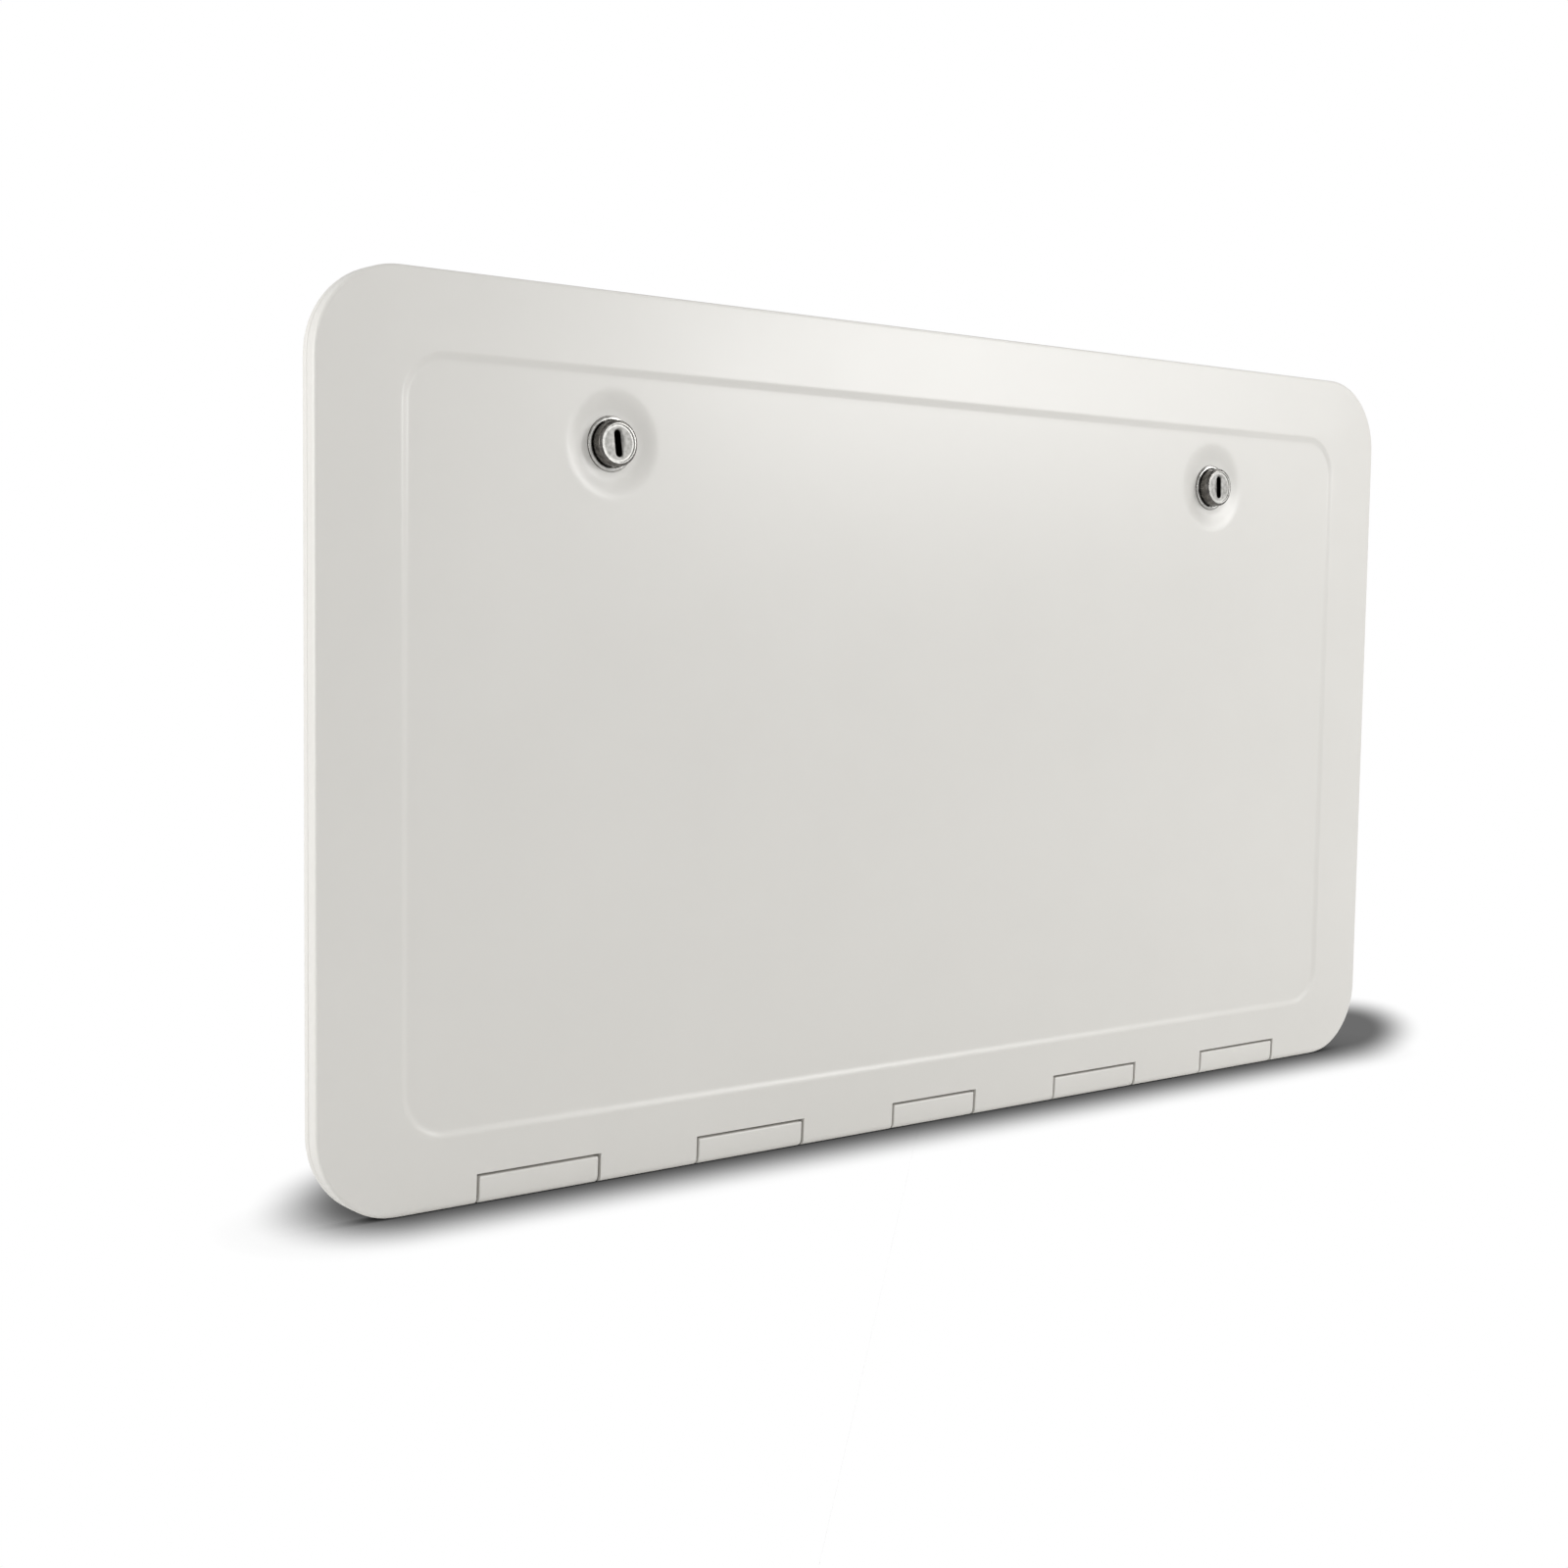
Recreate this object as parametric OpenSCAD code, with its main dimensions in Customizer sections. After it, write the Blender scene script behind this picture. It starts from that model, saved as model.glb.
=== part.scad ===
// Compartment door of a caravan: a flat frame with a collar that passes through the wall,
// and an insulated leaf that covers the frame and folds down on five knuckles along its
// lower edge. Two cam locks near the upper edge hold it shut.
//
// X runs along the door, Y goes back into the wall and Z points up. The origin lies on the
// wall's outer face, straight behind the middle of the hinge line.

/* [Door] */
// Overall width of the leaf and of the frame
door_w = 700; // [600:10:900]
// Overall height of the leaf and of the frame
door_h = 405; // [330:5:520]
// Radius of the four outer corners
corner_r = 40; // [30:1:56]
// Thickness of the leaf at its outer edge
rim_t = 6.5; // [6.25:0.25:7.5]
// Rounding where the front of the leaf turns into its sides
edge_r = 1.5; // [1:0.25:2]
// Width of the leaf's sloping border, from the outer edge to the ridge round the panel
border_w = 30; // [20:1:30]
// Rise of the leaf's sloping border, from the outer edge to the ridge round the panel
crown = 1.2; // [0.8:0.1:1.6]
// Wall thickness of the leaf's outer skin
skin_t = 2.5; // [2:0.25:2.5]
// Gap between the shut leaf and the frame's flange
shut_gap = 0.4; // [0.4:0.05:0.6]

/* [Panel] */
// Distance from the side edges to the sunken panel
panel_side = 39; // [34:1:60]
// Distance from the upper edge to the sunken panel
panel_top = 34; // [30:1:40]
// Distance from the lower edge to the sunken panel
panel_bottom = 32; // [26:1:50]
// Corner radius of the sunken panel
panel_r = 22; // [14:1:32]
// Width of the sloping step into the panel
step_w = 3.2; // [2:0.2:5]
// Depth of the panel below the ridge round it
panel_drop = 1.4; // [0.8:0.1:1.6]

/* [Frame] */
// Thickness of the flange that lies on the wall
flange_t = 3.5; // [3.5:0.25:5]
// Width of the flange, from the outer edge to the collar
flange_w = 36; // [34:1:44]
// Wall thickness of the collar
collar_t = 3; // [2.5:0.25:4]
// Depth of the collar behind the wall's outer face
collar_depth = 34; // [33:1:60]
// Outer corner radius of the collar
collar_r = 20; // [16:1:30]
// Distance from the outer edge to the middle of the seal's groove
seal_inset = 19; // [18:0.5:20]
// Width of the seal
seal_w = 4; // [3:0.25:4.5]
// Depth of the groove that holds the seal
seal_depth = 2; // [1.5:0.25:2]
// Radius of the screw holes in the flange
screw_r = 2.15; // [1.5:0.05:2.5]
// Distance from the outer edge to the screw holes
screw_inset = 28.5; // [27.5:0.5:29]
// Distance between the outermost screws along the upper and lower runs
screw_long = 560; // [440:10:580]
// Distance between the two inner screws along the upper and lower runs
screw_mid = 190; // [120:10:300]
// Distance between the two screws on each side run
screw_side = 150; // [100:10:220]

/* [Hinge] */
// Width of the four outer knuckles
knuckle_w = 63; // [40:1:70]
// Width of the middle knuckle
middle_knuckle_w = 56; // [40:1:70]
// Height of a knuckle
knuckle_h = 12.5; // [12:0.1:12.8]
// Gap between a knuckle and its notch in the leaf
knuckle_gap = 1.3; // [0.8:0.1:1.5]
// Radius of the hinge pins
pin_r = 1.5; // [1.2:0.1:1.6]
// Length of each pin's end inside the leaf
pin_reach = 9; // [6:1:12]

/* [Liner] */
// Wall thickness of the leaf's inner liner
liner_t = 2; // [1.5:0.25:2]
// Depth of the liner's back behind the wall's outer face
plug_depth = 14; // [8:1:15]
// Gap between the liner's tray and the collar
plug_gap = 6; // [6:0.5:8]
// Distance from the tray's edge to the field pressed into its back
field_inset = 36; // [34:1:42]
// Depth of the field pressed into the tray's back
field_drop = 1.5; // [1:0.25:2]

/* [Locks] */
// Distance from the middle of the door to each lock
lock_x = 204; // [150:0.5:240]
// Distance from the upper edge to the lock axes
lock_top = 68; // [67:0.5:74]
// Radius of the dish round a lock, at the panel
dish_r = 23; // [20:0.5:25]
// Radius of the dish's flat floor
dish_floor_r = 15; // [14:0.5:17]
// Depth of the dish below the panel
dish_drop = 2.5; // [1.5:0.25:3]
// Radius of the lock housing's flange
rosette_r = 12.5; // [12:0.25:13.5]
// Thickness of the lock housing's flange
rosette_t = 2.6; // [2:0.1:3]
// Radius of the threaded part of the housing
sleeve_r = 9.4; // [9:0.1:10]
// Radius of the barrel's head
head_r = 10.4; // [9.4:0.1:10.6]
// Distance from the housing's flange to the front of the barrel
head_out = 5.6; // [4:0.1:8]
// Radius of the barrel inside the housing
barrel_r = 7.5; // [7:0.1:8]
// Height of the key slot
key_h = 12; // [8:0.5:13]
// Width of the key slot
key_w = 3.5; // [2:0.1:4]
// Depth of the key slot
key_depth = 9; // [6:0.5:12]
// Distance from the lock axis to the tip of the cam
cam_l = 21.5; // [21:0.25:22.5]
// Width of the cam
cam_w = 14; // [11:0.5:16]
// Thickness of the cam
cam_t = 2; // [1.5:0.25:3]
// Radius of the cam screw's head
cam_screw_r = 5; // [4.5:0.25:6]
// Radius of the lock nut, across its corners
nut_r = 13; // [12.5:0.25:13.5]
// Thickness of the lock nut
nut_t = 4; // [3:0.25:4.5]

/* [Strikers] */
// Width of a striker
striker_w = 34; // [28:1:44]
// Sheet thickness of a striker
striker_t = 2; // [1.5:0.25:2.5]
// Height of the lip that the cam turns behind
striker_lip = 12; // [11.5:0.25:12.5]
// Depth of the striker's foot behind its lip
striker_foot = 10; // [8:1:10]
// Gap between the lip and the cam
cam_gap = 5; // [4:0.5:6]
// Gap between the liner's back and the lip
lip_gap = 5; // [4:0.5:6]

/* [Hidden] */

// Number of knuckles, numbered from the left as seen from outside
knuckles = 5;
// Distance from one knuckle to the next: 120 on a door of 700
knuckle_pitch = door_w * 6 / 35;
// Facets of a full circle
round_fn = 96;
// Clearances: a turning fit, a fixed fit, and a piece set into a rebate or a groove
turn_fit = 0.05;
still_fit = 0.03;
seat_fit = 0.1;
liner_fit = 0.3;
// Overshoot of a cut past the face that it opens
over = 1;
// Overlap of two pieces of one body
film = 0.01;

// Hinge line: the lower edge is a full round about it
round_r = rim_t / 2;
axis_y = -(flange_t + shut_gap + round_r);
bottom_z = -round_r;
top_z = bottom_z + door_h;
mid_z = bottom_z + door_h / 2;

// Depths of the leaf's faces, from the back to the front
leaf_back_y = axis_y + round_r;
edge_front_y = axis_y - round_r;
ridge_y = edge_front_y - crown;
panel_y = ridge_y + panel_drop;
cavity_y = panel_y + skin_t;
ledge_y = leaf_back_y - liner_t;
dish_y = panel_y + dish_drop;

// The sunken panel, and the ridge round it
panel_w = door_w - 2 * panel_side;
panel_h = door_h - panel_top - panel_bottom;
panel_z = bottom_z + panel_bottom + panel_h / 2;

// Lower rim of the leaf: solid up to a wall above the notches
knuckle_top_z = bottom_z + knuckle_h;
notch_top_z = knuckle_top_z + knuckle_gap;
rim_top_z = notch_top_z + skin_t;

// The collar, its clear opening, and the liner's tray inside it
collar_w = door_w - 2 * flange_w;
collar_h = door_h - 2 * flange_w;
open_w = collar_w - 2 * collar_t;
open_h = collar_h - 2 * collar_t;
open_r = collar_r - collar_t;
open_top_z = mid_z + open_h / 2;
plug_w = open_w - 2 * plug_gap;
plug_h = open_h - 2 * plug_gap;
plug_r = open_r - plug_gap;

// The seal stands a little out of its groove and just short of the shut leaf
seal_out = shut_gap - liner_fit;

// Locks
lock_z = top_z - lock_top;
rosette_y = dish_y - rosette_t;
head_y = rosette_y - head_out;
head_seat_y = dish_y - 0.7;
lip_y = plug_depth + lip_gap;
cam_y = lip_y + striker_t + cam_gap;
sleeve_end_y = cam_y - 2;
stub_r = 4;
screw_shank_r = 2;
screw_shank_l = 8;
screw_head_t = 3;

function knuckle_x(i) = (i - (knuckles + 1) / 2) * knuckle_pitch;
function knuckle_width(i) = i == (knuckles + 1) / 2 ? middle_knuckle_w : knuckle_w;

// A rectangle with round corners, centred on the origin
module rounded(w, h, r) {
    square([w - 2 * r, h], center = true);
    square([w, h - 2 * r], center = true);
    for (sx = [-1, 1], sy = [-1, 1])
        translate([sx * (w / 2 - r), sy * (h / 2 - r)]) circle(r = r, $fn = round_fn);
}

// An upright plate with round corners, centred at height z, from depth y0 back to y1
module plate(w, h, r, z, y0, y1) {
    translate([0, y1, z]) rotate([90, 0, 0]) linear_extrude(y1 - y0) rounded(w, h, r);
}

// The door's outline, drawn in by inset
module outline(inset, y0, y1) {
    plate(door_w - 2 * inset, door_h - 2 * inset, corner_r - inset, mid_z, y0, y1);
}

// A round bar along Y from depth y0 back to y1
module bar_y(r, y0, y1, fn = round_fn) {
    translate([0, y0, 0]) rotate([-90, 0, 0]) cylinder(r = r, h = y1 - y0, $fn = fn);
}

// A cone along Y, of radius r0 at depth y0 and r1 at y1
module cone_y(r0, r1, y0, y1) {
    translate([0, y0, 0]) rotate([-90, 0, 0]) cylinder(r1 = r0, r2 = r1, h = y1 - y0, $fn = round_fn);
}

// A round bar along X on the hinge line, centred at x
module bar_x(r, x, length) {
    translate([x - length / 2, axis_y, 0]) rotate([0, 90, 0]) cylinder(r = r, h = length, $fn = round_fn);
}

// A box from its lowest corner to its highest
module box(low, high) {
    translate(low) cube(high - low);
}

// Everything outside the full round of the lower edge
module below_hinge_line() {
    difference() {
        box([-door_w, ridge_y - over, bottom_z - over], [door_w, leaf_back_y + over, 0]);
        bar_x(round_r, 0, 3 * door_w);
    }
}

module at_lock(side) {
    translate([side * lock_x, 0, lock_z]) children();
}

// Frame

module screw_hole(x, z) {
    translate([x, 0, z]) {
        bar_y(screw_r, -flange_t - over, over);
        cone_y(2 * screw_r + over, screw_r, -flange_t - over, -flange_t + screw_r);
    }
}

module frame() {
    run_z = door_h / 2 - screw_inset;
    run_x = door_w / 2 - screw_inset;
    color("gainsboro") difference() {
        union() {
            outline(0, -flange_t, 0);
            plate(collar_w, collar_h, collar_r, mid_z, -flange_t, collar_depth);
        }
        plate(open_w, open_h, open_r, mid_z, -flange_t - over, collar_depth + over);
        difference() {
            outline(seal_inset - seal_w / 2 - seat_fit, -flange_t - over, -flange_t + seal_depth);
            outline(seal_inset + seal_w / 2 + seat_fit, -flange_t - 2 * over, over);
        }
        for (sz = [-1, 1], x = [-screw_long, -screw_mid, screw_mid, screw_long])
            screw_hole(x / 2, mid_z + sz * run_z);
        for (sx = [-1, 1], sz = [-1, 1])
            screw_hole(sx * run_x, mid_z + sz * screw_side / 2);
    }
}

module door_seal() {
    color("black") difference() {
        outline(seal_inset - seal_w / 2, -flange_t - seal_out, -flange_t + seal_depth);
        outline(seal_inset + seal_w / 2, -flange_t - over, over);
    }
}

// An angle of sheet steel under the top of the collar, with its lip in front of the cam
module striker(side) {
    color("silver") translate([side * lock_x, 0, 0]) {
        box([-striker_w / 2, lip_y, open_top_z - striker_lip],
            [striker_w / 2, lip_y + striker_t, open_top_z]);
        box([-striker_w / 2, lip_y, open_top_z - striker_t],
            [striker_w / 2, lip_y + striker_t + striker_foot, open_top_z]);
    }
}

// A block on the flange, flush with the leaf's front and round below like its lower edge
module hinge_knuckle(i) {
    w = knuckle_width(i);
    top_r = 1;
    color("gainsboro") translate([knuckle_x(i), 0, 0]) difference() {
        union() {
            box([-w / 2, edge_front_y, 0], [w / 2, -flange_t, knuckle_top_z - top_r]);
            box([-w / 2, edge_front_y + top_r, 0], [w / 2, -flange_t, knuckle_top_z]);
            box([-w / 2, axis_y, bottom_z], [w / 2, -flange_t, knuckle_top_z]);
            bar_x(round_r, 0, w);
            translate([-w / 2, edge_front_y + top_r, knuckle_top_z - top_r])
                rotate([0, 90, 0]) cylinder(r = top_r, h = w, $fn = round_fn);
        }
        bar_x(pin_r + still_fit, 0, w + 2 * over);
    }
}

module hinge_pin(i) {
    color("silver") bar_x(pin_r, knuckle_x(i), knuckle_width(i) + 2 * (knuckle_gap + pin_reach));
}

// Leaf

// Carries a profile round a rectangle with round corners, centred at height z. The profile's x
// runs outwards from the corners' centres and its y is the depth.
module carried_round(w, h, r, z) {
    for (i = [0 : 3]) {
        out = (i % 2 == 0 ? w : h) / 2 - r;
        half = (i % 2 == 0 ? h : w) / 2 - r;
        translate([0, 0, z]) rotate([0, 90 * i, 0]) translate([out, 0, -half]) {
            linear_extrude(2 * half) children();
            rotate([-90, 0, 0]) rotate_extrude(angle = 90, $fn = round_fn) children();
        }
    }
}

// The leaf's outside: straight sides, a round edge, then the sloping border up to the ridge
module leaf_blank() {
    steps = 5;
    inner_x = corner_r - border_w;
    carried_round(door_w, door_h, corner_r, mid_z) polygon(concat(
        [[inner_x, leaf_back_y], [corner_r, leaf_back_y]],
        [for (i = [0 : steps]) let (turn = 90 * i / steps)
            [corner_r - edge_r * (1 - cos(turn)), edge_front_y + edge_r * (1 - sin(turn))]],
        [[inner_x, ridge_y]]));
    outline(border_w, ridge_y, leaf_back_y);
}

// The sunken panel: a step that slopes in, and a flat floor
module panel_cut() {
    inner_r = panel_r - step_w;
    carried_round(panel_w, panel_h, panel_r, panel_z)
        polygon([[inner_r, panel_y], [inner_r, ridge_y - over], [panel_r, ridge_y - over],
                 [panel_r, ridge_y]]);
    plate(panel_w - 2 * step_w, panel_h - 2 * step_w, inner_r, panel_z, ridge_y - over, panel_y);
}

// The space inside the leaf, above its solid lower rim, drawn in by inset
module leaf_space(inset, y0, y1, lift = 0) {
    intersection() {
        outline(inset, y0, y1);
        box([-door_w, y0 - over, rim_top_z + lift], [door_w, y1 + over, top_z]);
    }
}

module door_skin() {
    color("whitesmoke") difference() {
        union() {
            difference() {
                leaf_blank();
                panel_cut();
                leaf_space(2 * skin_t, cavity_y, ledge_y + film);
                leaf_space(skin_t, ledge_y, leaf_back_y + over);
            }
            for (side = [-1, 1])
                at_lock(side) bar_y(dish_floor_r + skin_t, cavity_y - skin_t / 2, dish_y + skin_t);
        }
        below_hinge_line();
        for (side = [-1, 1]) at_lock(side) {
            cone_y(dish_r + (dish_r - dish_floor_r) / dish_drop * over, dish_floor_r,
                   panel_y - over, dish_y);
            bar_y(sleeve_r + seat_fit, ridge_y, leaf_back_y);
        }
        for (i = [1 : knuckles]) {
            half = knuckle_width(i) / 2 + knuckle_gap;
            box([knuckle_x(i) - half, ridge_y - over, bottom_z - over],
                [knuckle_x(i) + half, leaf_back_y + over, notch_top_z]);
            bar_x(pin_r + turn_fit, knuckle_x(i), 2 * (half + pin_reach + seat_fit));
        }
    }
}

// A tray that fills the frame's opening, with a flange set into the back of the skin
module door_liner() {
    field_r = plug_r - 2;
    color("white") difference() {
        union() {
            leaf_space(skin_t + liner_fit, ledge_y, leaf_back_y, liner_fit);
            plate(plug_w, plug_h, plug_r, mid_z, ledge_y, plug_depth);
        }
        difference() {
            plate(plug_w - 2 * liner_t, plug_h - 2 * liner_t, plug_r - liner_t, mid_z,
                  ledge_y - over, plug_depth - liner_t);
            plate(plug_w - 2 * field_inset + 2 * liner_t, plug_h - 2 * field_inset + 2 * liner_t,
                  field_r + liner_t, mid_z, plug_depth - liner_t - field_drop, plug_depth);
        }
        plate(plug_w - 2 * field_inset, plug_h - 2 * field_inset, field_r, mid_z,
              plug_depth - field_drop, plug_depth + over);
        for (side = [-1, 1])
            at_lock(side) bar_y(sleeve_r + seat_fit, ledge_y - over, plug_depth + over);
    }
}

// Locks

module lock_housing(side) {
    bevel = 0.8;
    color("silver") at_lock(side) difference() {
        union() {
            bar_y(sleeve_r, dish_y - film, sleeve_end_y);
            bar_y(rosette_r, rosette_y + bevel, dish_y);
            cone_y(rosette_r - bevel, rosette_r, rosette_y, rosette_y + bevel);
        }
        bar_y(barrel_r + turn_fit, rosette_y - over, sleeve_end_y + over);
        bar_y(head_r + 10 * turn_fit, rosette_y - over, head_seat_y);
    }
}

module lock_nut(side) {
    color("silver") at_lock(side) difference() {
        bar_y(nut_r, plug_depth, plug_depth + nut_t, 6);
        bar_y(sleeve_r + still_fit, plug_depth - over, plug_depth + nut_t + over);
    }
}

module lock_barrel(side) {
    bevel = 1.5;
    face_drop = 0.5;
    color("lightgray") at_lock(side) difference() {
        union() {
            cone_y(head_r - bevel, head_r, head_y, head_y + bevel);
            bar_y(head_r, head_y + bevel, head_seat_y - turn_fit);
            bar_y(barrel_r, head_y + bevel, cam_y);
            bar_y(stub_r, head_y + bevel, cam_y + cam_t);
        }
        bar_y(head_r - 1.4 * bevel, head_y - over, head_y + face_drop);
        box([-key_w / 2, head_y - over, -key_h / 2], [key_w / 2, head_y + key_depth, key_h / 2]);
        bar_y(screw_shank_r + still_fit, cam_y + cam_t - screw_shank_l - seat_fit, cam_y + cam_t + over);
    }
}

// The cam points to the middle of the door when the lock is open
module lock_cam(side) {
    tip_r = cam_w / 2 - 1;
    color("silver") at_lock(side) difference() {
        union() {
            bar_y(cam_w / 2, cam_y, cam_y + cam_t);
            translate([-side * (cam_l - tip_r), 0, 0]) bar_y(tip_r, cam_y, cam_y + cam_t);
            box([min(0, -side * (cam_l - tip_r)), cam_y, -tip_r],
                [max(0, -side * (cam_l - tip_r)), cam_y + cam_t, tip_r]);
        }
        bar_y(stub_r + still_fit, cam_y - over, cam_y + cam_t + over);
    }
}

module cam_screw(side) {
    color("silver") at_lock(side) {
        bar_y(cam_screw_r, cam_y + cam_t, cam_y + cam_t + screw_head_t, 6);
        bar_y(screw_shank_r, cam_y + cam_t - screw_shank_l, cam_y + cam_t + screw_head_t / 2);
    }
}

frame();
door_seal();
striker(-1);  // striker_left
striker(1);  // striker_right
hinge_knuckle(1);  // hinge_knuckle_1
hinge_knuckle(2);  // hinge_knuckle_2
hinge_knuckle(3);  // hinge_knuckle_3
hinge_knuckle(4);  // hinge_knuckle_4
hinge_knuckle(5);  // hinge_knuckle_5
hinge_pin(1);  // hinge_pin_1
hinge_pin(2);  // hinge_pin_2
hinge_pin(3);  // hinge_pin_3
hinge_pin(4);  // hinge_pin_4
hinge_pin(5);  // hinge_pin_5
door_skin();
door_liner();
lock_housing(-1);  // lock_housing_left
lock_housing(1);  // lock_housing_right
lock_nut(-1);  // lock_nut_left
lock_nut(1);  // lock_nut_right
lock_barrel(-1);  // lock_barrel_left
lock_cam(-1);  // lock_cam_left
cam_screw(-1);  // cam_screw_left
lock_barrel(1);  // lock_barrel_right
lock_cam(1);  // lock_cam_right
cam_screw(1);  // cam_screw_right
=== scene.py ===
"""Look of the compartment door: smooth moulded surfaces, plated locks, and a plain white studio.

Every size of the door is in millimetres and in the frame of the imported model: X along the door, Y back
into the wall, Z up, with the hinge line at z = 0. mesh_piece turns them into metres. The studio's sizes
are in metres.
"""
import math
import bmesh
import bpy
import numpy as np
from mathutils import Matrix
from mathutils.geometry import delaunay_2d_cdt


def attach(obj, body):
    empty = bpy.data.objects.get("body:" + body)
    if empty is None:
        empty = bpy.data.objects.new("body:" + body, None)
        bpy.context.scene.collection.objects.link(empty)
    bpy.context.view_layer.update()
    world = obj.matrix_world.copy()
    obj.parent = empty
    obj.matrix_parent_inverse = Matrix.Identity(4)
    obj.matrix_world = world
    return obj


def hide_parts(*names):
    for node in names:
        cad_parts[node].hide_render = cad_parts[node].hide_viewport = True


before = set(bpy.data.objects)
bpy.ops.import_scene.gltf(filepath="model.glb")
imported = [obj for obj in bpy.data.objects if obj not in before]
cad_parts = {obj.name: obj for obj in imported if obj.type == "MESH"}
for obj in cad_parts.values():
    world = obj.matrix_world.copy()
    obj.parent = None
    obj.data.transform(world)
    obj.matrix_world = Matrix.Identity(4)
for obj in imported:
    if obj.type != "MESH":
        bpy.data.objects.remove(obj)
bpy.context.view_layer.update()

# Sizes shared with the solids. Against them the panel's step is wider and shallower here, and each dish
# runs out further to a shallower floor, as the photograph shades them.
DOOR_W, DOOR_H, CORNER_R = 700.0, 405.0, 40.0
STRAIGHT = DOOR_W / 2 - CORNER_R
FLANGE_T, SHUT_GAP, RIM_T, EDGE_R = 3.5, 0.4, 6.5, 1.5
ROUND_R = RIM_T / 2
AXIS_Y = -(FLANGE_T + SHUT_GAP + ROUND_R)
BOTTOM_Z = -ROUND_R
TOP_Z = BOTTOM_Z + DOOR_H
MID_Z = BOTTOM_Z + DOOR_H / 2
BACK_Y = AXIS_Y + ROUND_R
FRONT_Y = AXIS_Y - ROUND_R
CROWN, CROWN_RUN, BORDER_W = 1.2, 34.0, 30.0
RIDGE_Y = FRONT_Y - CROWN
PANEL_SIDE, PANEL_TOP, PANEL_BOTTOM, PANEL_R, STEP_W = 39.0, 34.0, 32.0, 22.0, 4.2
PANEL_DROP = 0.9
PANEL_Y = RIDGE_Y + PANEL_DROP
PANEL_W = DOOR_W - 2 * PANEL_SIDE
PANEL_H = DOOR_H - PANEL_TOP - PANEL_BOTTOM
PANEL_Z = BOTTOM_Z + PANEL_BOTTOM + PANEL_H / 2
SKIN_T, LINER_T, LINER_FIT = 2.5, 2.0, 0.3
LEDGE_Y = BACK_Y - LINER_T
KNUCKLE_H, KNUCKLE_GAP = 12.5, 1.3
KNUCKLE_TOP = BOTTOM_Z + KNUCKLE_H
NOTCH_TOP = KNUCKLE_TOP + KNUCKLE_GAP
RIM_TOP = NOTCH_TOP + SKIN_T
KNUCKLE_PITCH, KNUCKLE_W, MIDDLE_W = 120.0, 63.0, 56.0
KNUCKLES = [(k * KNUCKLE_PITCH, KNUCKLE_W if k else MIDDLE_W) for k in range(-2, 3)]
LOCK_X, LOCK_Z = 204.0, TOP_Z - 68.0
DISH_R, DISH_FLOOR_R, DISH_FLOOR_Y, DISH_Y = 26.5, 13.0, -9.1, -7.7
ROSETTE_R, ROSETTE_T, SLEEVE_R = 12.5, 2.6, 9.4
HOLE_R = SLEEVE_R + 0.1
ROSETTE_Y = DISH_Y - ROSETTE_T
HEAD_R, HEAD_Y, HEAD_SEAT_Y = 10.4, ROSETTE_Y - 5.6, DISH_Y - 0.7
BARREL_R = 7.5
KEY_H, KEY_W, KEY_DEPTH = 12.0, 3.5, 9.0
PLUG_W, PLUG_H, PLUG_R, PLUG_Y = 610.0, 315.0, 11.0, 14.0
FIELD_INSET, FIELD_RUN, FIELD_R, FIELD_DROP = 36.0, 5.0, 12.0, 1.5
COLLAR_W, COLLAR_H, COLLAR_R, COLLAR_T, COLLAR_Y = 628.0, 333.0, 20.0, 3.0, 34.0
GROOVE_FROM, GROOVE_TO, GROOVE_DEPTH = 16.9, 21.1, 2.0
SCREW_R, SCREW_HEAD_R, SCREW_INSET = 2.15, 4.3, 28.5
SCREW_ROW, SCREW_SIDE = (-280, -95, 95, 280), 75
CAM_Y, CAM_T, CAM_L, CAM_W, SLEEVE_END = 26.0, 2.0, 21.5, 14.0, 24.0
NUT_R, NUT_T = 13.0, 4.0
CAM_SCREW_R, CAM_SCREW_T, WASHER_R, WASHER_T = 5.0, 3.0, 6.4, 0.8


# Meshes

def smooth(t):
    """An S-curve from 0 to 1: three times the square of t less twice its cube, with t held in 0 to 1."""
    t = np.clip(t, 0.0, 1.0)
    return t * t * (3 - 2 * t)


def soft(t):
    """A gentler S-curve, flat at both ends: six times the fifth power of t, less fifteen times its fourth,
    plus ten times its cube."""
    return t ** 3 * (6 * t * t - 15 * t + 10)


def grid(points, around=False):
    """Squares between neighbours of a grid of points, rows by columns by 3; around closes each row."""
    rows, cols = points.shape[:2]
    i, j = np.meshgrid(np.arange(rows - 1), np.arange(cols if around else cols - 1), indexing="ij")
    k = (j + 1) % cols
    faces = np.stack([i * cols + j, i * cols + k, (i + 1) * cols + k, (i + 1) * cols + j], -1)
    return points.reshape(-1, 3), faces.reshape(-1, 4).tolist()


def inside(loop, x, z):
    """Whether points lie inside a closed loop: a ray towards +X crosses the loop an odd number of times."""
    ax, az = loop.T[:, :, None]
    bx, bz = np.roll(ax, -1, 0), np.roll(az, -1, 0)
    crosses = ((az > z) != (bz > z)) & (x < ax + (z - az) / np.where(bz == az, 1, bz - az) * (bx - ax))
    return crosses.sum(0) % 2 == 1


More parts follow.
